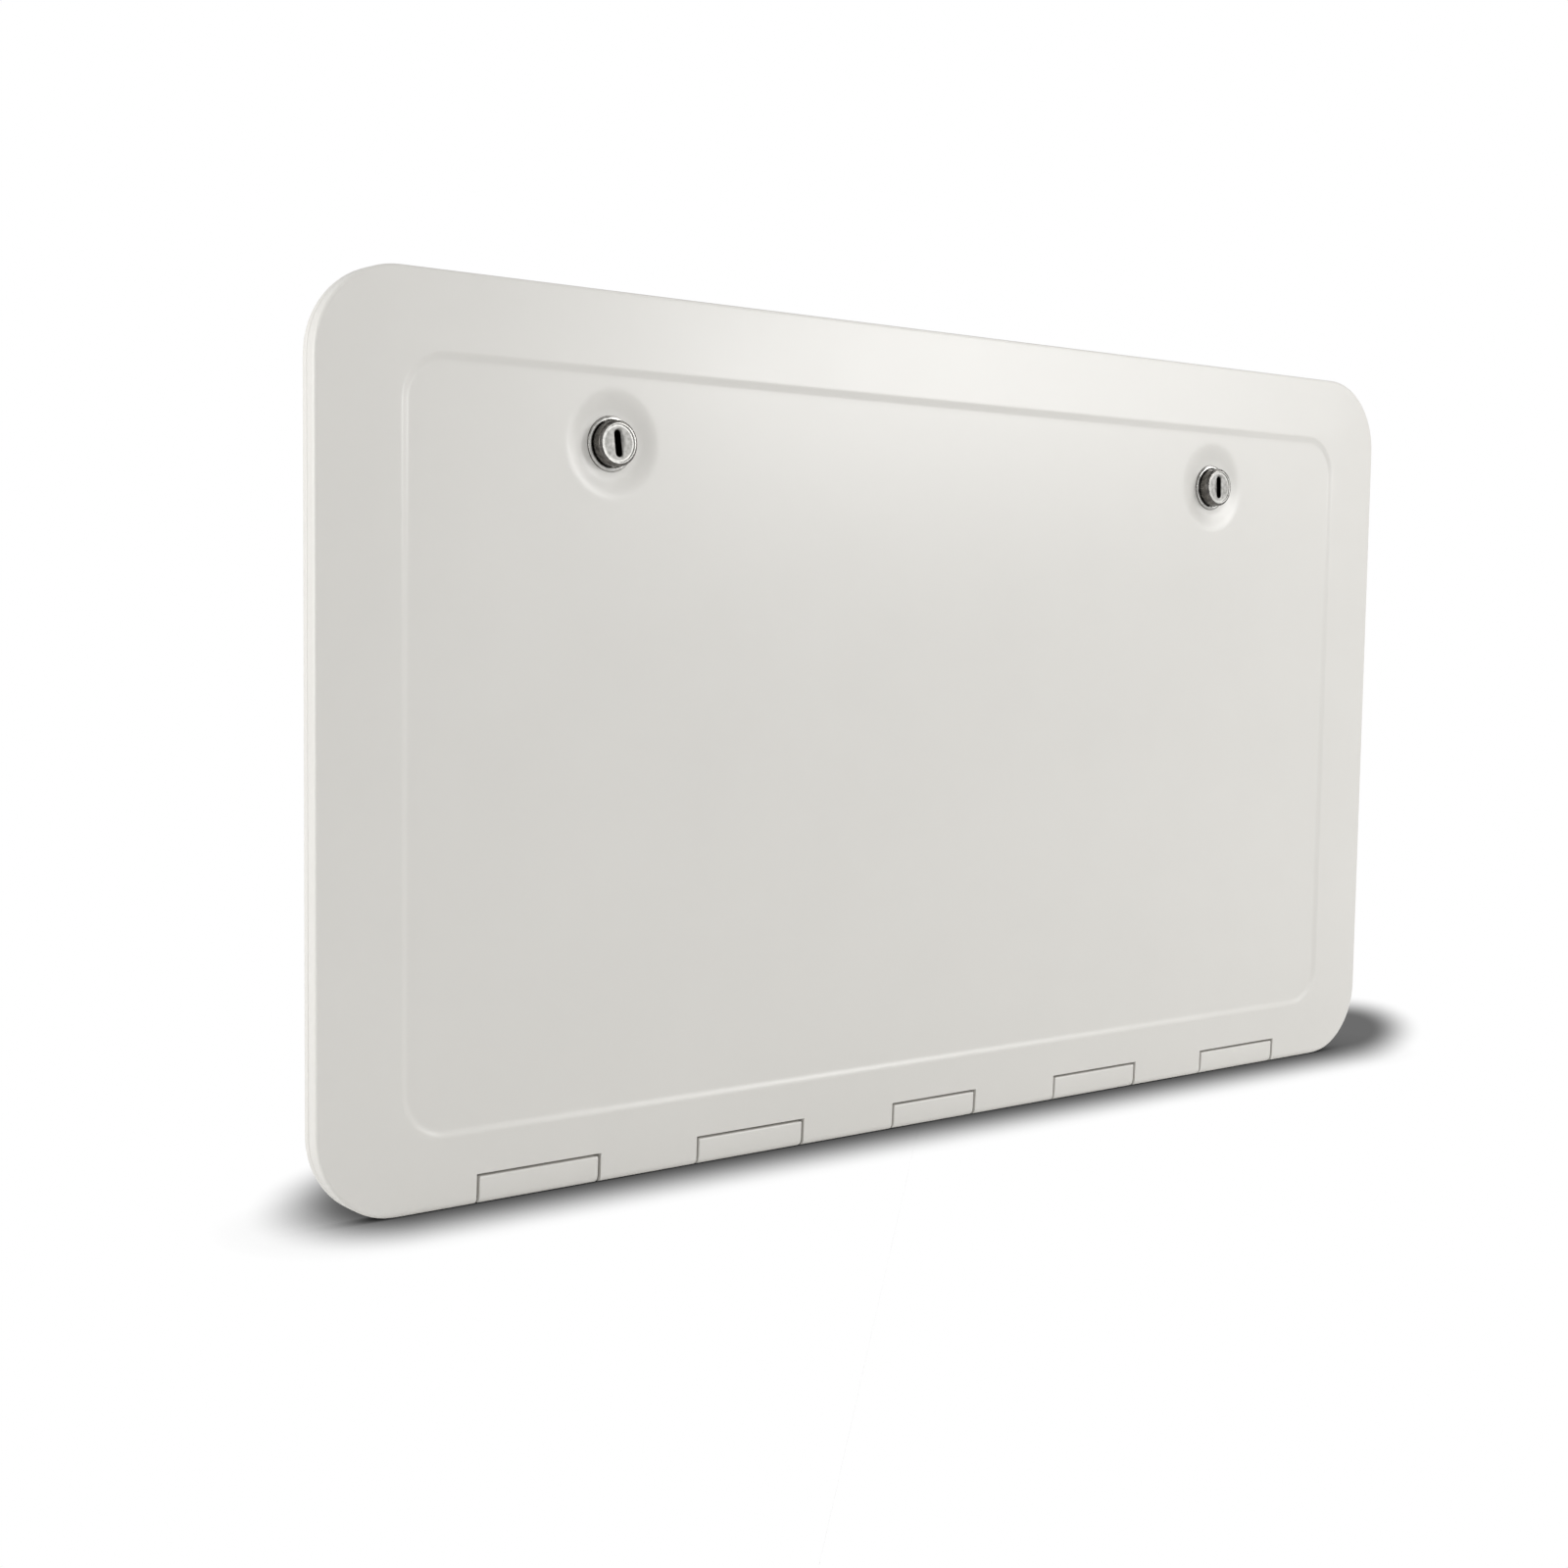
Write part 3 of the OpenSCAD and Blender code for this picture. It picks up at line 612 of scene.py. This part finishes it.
def lock_barrel(side, word, tilt):
    """The barrel: a head with a round edge and a raised rim round a slightly sunk face, and a shaft behind.
    Its face is drawn between the rim's foot and the keyway's outline, which then runs back to a floor of its
    own. Within rim_r the face, and from there to bevel_r the rim, are darker copies of the plating with
    rougher finishes: painted shade that tones down the lamps' reflections there. The head's round edge and
    side beyond bevel_r are painted dark, a painted reflection of a dark room, and the keyway is painted near
    black as painted shade. The key's slot leans by tilt degrees."""
    lx, n = side * LOCK_X, 96
    face_r, face_y, round_r = HEAD_R - 2.1, HEAD_Y + 0.45, 1.45
    rim_r, bevel_r = face_r - 0.8, HEAD_R - round_r + 0.05
    way_y, floor_y = face_y + 0.35, HEAD_Y + KEY_DEPTH
    under_y, end_y, end_r = HEAD_SEAT_Y - 0.05, CAM_Y + CAM_T, 4.0
    body = [[face_r, face_y], [face_r + 0.08, HEAD_Y + 0.25]]
    body += arc(face_r + 0.33, HEAD_Y + 0.25, 0.25, 200, 270, 4)
    body += arc(HEAD_R - round_r, HEAD_Y + round_r, round_r, 274, 356, 8)
    body += [[HEAD_R, HEAD_Y + 1.8], [HEAD_R, HEAD_SEAT_Y - 0.3], [HEAD_R - 0.2, under_y],
             [BARREL_R, under_y], [BARREL_R, CAM_Y - 0.3], [BARREL_R - 0.3, CAM_Y], [end_r, CAM_Y],
             [end_r, end_y - 0.2], [end_r - 0.2, end_y], [0, end_y]]
    sx, sz = slot_loop(lx, LOCK_Z, KEY_W, KEY_H, tilt, n)
    wx, wz = slot_loop(lx, LOCK_Z, KEY_W + 0.7, KEY_H + 0.7, tilt, n)
    cx, cz = circle(lx, LOCK_Z, face_r, n).T
    rx, rz = circle(lx, LOCK_Z, rim_r, n).T

    def loops(*layers):
        return grid(np.stack([np.stack([x, np.full(n, y), z], -1) for x, y, z in layers]), around=True)

    face = loops((cx, face_y, cz), (rx, face_y, rz), ((cx + 3 * wx) / 4, face_y, (cz + 3 * wz) / 4),
                 (wx, face_y, wz), ((sx + wx) / 2, face_y + 0.1, (sz + wz) / 2), (sx, way_y, sz))
    verts, faces = loops((sx, way_y, sz), (sx, floor_y, sz))
    faces.append([n + k for k in range(n)])
    patches = [turned(body, lx, LOCK_Z, n), face, (verts, faces)]
    o = mesh_piece(f"barrel_{word}", f"{word}_lock", LOCK_METAL, patches, [f"lock_barrel_{word}"])
    front_y, slot_r = way_y + 0.01, KEY_H / 2 + 0.01
    # Painted shade and reflection: dark sides, darker copies of the plating on the rim and face, and a
    # near-black keyway
    paint(o, side, [(LOCK_SIDE_PAINTED_DARK, lambda far, y: (far > bevel_r) & (y < HEAD_SEAT_Y)),
                    (LOCK_RIM_SHADED_COPY, lambda far, y: (far < bevel_r) & (y < front_y)),
                    (LOCK_FACE_SHADED_COPY, lambda far, y: (far < rim_r) & (y < front_y)),
                    (KEYWAY_PAINTED_SHADE, lambda far, y: (far < slot_r) & (y > front_y) & (y < floor_y + 0.01))])


def cam(side, word):
    """The cam: a flat bar from a round hub to a narrower round tip, stamped from sheet, with a hole on the
    barrel's end; a bevel breaks its edges."""
    lx, n, tip = side * LOCK_X, 96, CAM_W / 2 - 1
    reach = CAM_L - tip
    a = np.arange(n) * 2 * np.pi / n
    c, s = np.cos(a), np.sin(a)
    away = c * -side
    lean = math.asin((CAM_W / 2 - tip) / reach)
    near = away < math.sin(lean)
    px = np.where(near, CAM_W / 2 * c, -side * reach + tip * c)
    pz = np.where(near, CAM_W / 2 * s, tip * s)
    bore, y0, y1 = 4.03, CAM_Y + 0.02, CAM_Y + CAM_T
    hole, rim = (bore * c, bore * s), (px, pz)
    points = np.stack([np.stack([lx + x, np.full(n, y), LOCK_Z + z], -1)
                       for (x, z), y in ((hole, y0), (rim, y0), (rim, y1), (hole, y1), (hole, y0))])
    mesh_piece(f"cam_{word}", f"{word}_lock", ZINC, [grid(points, around=True)], [f"lock_cam_{word}"],
               bevel=0.2)


def cam_screw(side, word):
    """The cam's screw: a washer, and a hexagon head with a turned chamfer."""
    lx, y0 = side * LOCK_X, CAM_Y + CAM_T
    y1, y2 = y0 + WASHER_T, y0 + CAM_SCREW_T
    across = CAM_SCREW_R * math.sqrt(3)
    washer = [[0, y0], [WASHER_R - 0.2, y0], [WASHER_R, y0 + 0.2], [WASHER_R, y1 - 0.2],
              [WASHER_R - 0.2, y1], [0, y1]]
    bolt = [[0, y1 - 0.1], [CAM_SCREW_R, y1 - 0.1], [CAM_SCREW_R, y2 - 0.5], [across / 2 - 0.2, y2], [0, y2]]
    mesh_piece(f"cam_washer_{word}", f"{word}_lock", ZINC, [turned(washer, lx, LOCK_Z, 48)], [])
    mesh_piece(f"cam_bolt_{word}", f"{word}_lock", ZINC,
               [turned(bolt, lx, LOCK_Z, 96, hexagon(across, across / 2 - 0.01))],
               [f"cam_screw_{word}"], sharp=18)


leaf_skin()
leaf_liner()
wall_frame()
for k, (x, w) in enumerate(KNUCKLES, 1):
    knuckle(k, x, w)
for side, word, tilt in ((-1, "left", 7), (1, "right", 3)):
    lock_housing(side, word)
    lock_nut(side, word)
    lock_barrel(side, word, tilt)
    cam(side, word)
    cam_screw(side, word)


# Studio

def studio_floor(bounce, reach, left, left_lean, right, right_lean, back, core, rim, deep):
    """A plain square floor at the door's lower edge. Light comes back from it as from pale paper. To the
    camera it is clear, so the white world shows through, apart from a shadow that is the product of two
    parts: how closely the door stands over a spot within reach metres, and a soft pool under the fixed
    frame. The pool runs from x = left to right, where each end leans to the right by its lean for each
    metre behind. It is centred at y = back, and clears from deep to white between core and rim metres
    away. What hangs below the floor in an open pose is lit and seen through it."""
    m = bpy.data.materials.new("paper_floor_white")
    m.use_nodes = True
    tree = m.node_tree
    tree.nodes.clear()
    ray = add(tree, "ShaderNodeLightPath").outputs
    geometry = add(tree, "ShaderNodeNewGeometry").outputs
    close = add(tree, "ShaderNodeAmbientOcclusion", {"Distance": reach}, samples=16).outputs["AO"]
    spot = add(tree, "ShaderNodeSeparateXYZ", {0: geometry["Position"]}).outputs
    x, y = spot["X"], spot["Y"]
    number, mix = "ShaderNodeMath", "ShaderNodeMixShader"
    skewed = add(tree, number, {0: y, 1: -right_lean, 2: x}, operation="MULTIPLY_ADD")
    past_right = add(tree, number, {0: skewed, 1: right}, operation="SUBTRACT")
    left_end = add(tree, number, {0: y, 1: left_lean, 2: left}, operation="MULTIPLY_ADD")
    past_left = add(tree, number, {0: left_end, 1: x}, operation="SUBTRACT")
    further = add(tree, number, {0: past_right, 1: past_left}, operation="MAXIMUM")
    past = add(tree, number, {0: further, 1: 0.0}, operation="MAXIMUM")
    behind = add(tree, number, {0: y, 1: back}, operation="SUBTRACT")
    away = add(tree, "ShaderNodeCombineXYZ", {0: past, 1: behind})
    far = add(tree, "ShaderNodeVectorMath", {0: away}, operation="LENGTH").outputs["Value"]
    pool = add(tree, "ShaderNodeMapRange", {"Value": far, "From Min": core, "From Max": rim, "To Min": deep},
               interpolation_type="SMOOTHSTEP")
    shade = add(tree, number, {0: close, 1: pool}, operation="MULTIPLY")
    open_side = add(tree, number, {0: ray["Is Shadow Ray"], 1: geometry["Backfacing"]}, operation="MAXIMUM")
    paper = add(tree, "ShaderNodeBsdfDiffuse", {"Color": (bounce, bounce, bounce, 1)})
    black = add(tree, "ShaderNodeBsdfDiffuse", {"Color": (0, 0, 0, 1)})
    clear = add(tree, "ShaderNodeBsdfTransparent")
    seen = add(tree, mix, {0: shade, 1: black, 2: clear})
    light = add(tree, mix, {0: open_side, 1: paper, 2: clear})
    both = add(tree, mix, {0: ray["Is Camera Ray"], 1: light, 2: seen})
    add(tree, "ShaderNodeOutputMaterial", {"Surface": both})
    mesh = bpy.data.meshes.new("floor")
    half, z = 30, BOTTOM_Z * 0.001
    corners = [(x * half, y * half, z) for x, y in ((-1, -1), (1, -1), (1, 1), (-1, 1))]
    mesh.from_pydata(corners, [], [(0, 1, 2, 3)])
    mesh.materials.append(m)
    o = bpy.data.objects.new("floor", mesh)
    bpy.context.scene.collection.objects.link(o)


def studio_world(light, seen, front, side, rear):
    """White to the camera and an even light on the door. In reflections the room is bright in front of the
    door, dark at its sides and half bright behind, as a studio is. That gives plated metal its dark edges."""
    w = bpy.data.worlds.new("studio")
    bpy.context.scene.world = w
    w.use_nodes = True
    tree = w.node_tree
    tree.nodes.clear()
    ray = add(tree, "ShaderNodeLightPath").outputs
    place = add(tree, "ShaderNodeTexCoord").outputs["Generated"]
    y = add(tree, "ShaderNodeSeparateXYZ", {"Vector": place}).outputs["Y"]
    ahead = add(tree, "ShaderNodeMapRange", {"Value": y, "From Min": -0.8, "From Max": -0.1,
                                             "To Min": front, "To Max": side})
    behind = add(tree, "ShaderNodeMapRange", {"Value": y, "From Min": 0.1, "From Max": 0.8,
                                              "To Max": rear - side})
    room = add(tree, "ShaderNodeMath", {0: ahead, 1: behind}, operation="ADD")
    even, shine, white = [add(tree, "ShaderNodeBackground", {"Color": (1, 1, 1, 1), "Strength": strength})
                          for strength in (light, room, seen)]
    look = add(tree, "ShaderNodeMath", {0: ray["Is Camera Ray"], 1: ray["Is Transmission Ray"]},
               operation="MAXIMUM")
    lit = add(tree, "ShaderNodeMixShader", {0: ray["Is Glossy Ray"], 1: even, 2: shine})
    both = add(tree, "ShaderNodeMixShader", {0: look, 1: lit, 2: white})
    add(tree, "ShaderNodeOutputWorld", {"Surface": both})


def placed(name, data, right, up, out, at):
    """An object for a lamp or camera that looks against out, with its right and upper sides as given."""
    o = bpy.data.objects.new(name, data)
    bpy.context.scene.collection.objects.link(o)
    axes = np.stack([right, up, out], 1)
    o.matrix_world = Matrix([[*row, p] for row, p in zip(axes, at)] + [[0, 0, 0, 1]])
    return o


def softbox(name, azimuth, elevation, distance, wide, high, power, aim=(0.0, 0.0, 0.2)):
    """A soft rectangular lamp: azimuth degrees to the right of the door's normal,
    elevation degrees up, and distance metres from the point that it is aimed at."""
    a, e = math.radians(azimuth), math.radians(elevation)
    out = np.array([math.sin(a) * math.cos(e), -math.cos(a) * math.cos(e), math.sin(e)])
    lamp = bpy.data.lights.new(name, "AREA")
    lamp.shape, lamp.size, lamp.size_y, lamp.energy = "RECTANGLE", wide, high, power
    side = np.cross((0, 0, 1.0), out)
    side /= np.linalg.norm(side)
    placed(name, lamp, side, np.cross(out, side), out, np.array(aim) + out * distance)


def camera():
    """The photograph's viewpoint, from a fit to the door's corners, with a lens of about 50 mm. left, away
    and high are its metres to the left of the door's middle, before its face and above its lower edge."""
    yaw, pitch, roll = math.radians(38.51), math.radians(-4.44), math.radians(0.83)
    ahead = np.array([math.sin(yaw) * math.cos(pitch), math.cos(yaw) * math.cos(pitch), math.sin(pitch)])
    level = np.array([math.cos(yaw), -math.sin(yaw), 0.0])
    rise = np.cross(level, ahead)
    right = math.cos(roll) * level + math.sin(roll) * rise
    up = -math.sin(roll) * level + math.cos(roll) * rise
    data = bpy.data.cameras.new("photo_camera")
    sensor_mm, photo_px, focal_px = 36.0, 1600, 2206
    data.sensor_width, data.lens = sensor_mm, focal_px / photo_px * sensor_mm
    data.clip_start, data.clip_end = 0.05, 50
    left, away, high = 0.752, 0.816, 0.261
    at = (-left, 0.001 * FRONT_Y - away, 0.001 * BOTTOM_Z + high)
    bpy.context.scene.camera = placed("photo_camera", data, right, up, -ahead, at)


camera()
studio_floor(bounce=0.8, reach=0.05, left=-0.294, left_lean=0.45, right=0.36, right_lean=0.97,
             back=0.03, core=0.033, rim=0.085, deep=0.15)
studio_world(light=0.597, seen=1.0, front=0.88, side=0.06, rear=0.5)
# A wide graded softbox in three upright strips side by side, the one nearest the door's normal strongest
for k, (azimuth, power) in enumerate(((36, 4.4), (44, 2.45), (52, 1.55)), 1):
    softbox(f"softbox_right_{k}", azimuth, elevation=15, distance=1.9, wide=0.27, high=0.4, power=power)
softbox("softbox_high", azimuth=60, elevation=45, distance=2.0, wide=0.9, high=0.9, power=7.2)
softbox("softbox_left", azimuth=-97, elevation=12, distance=2.2, wide=1.2, high=1.2, power=20.5)
bpy.context.scene.view_settings.view_transform = "Standard"
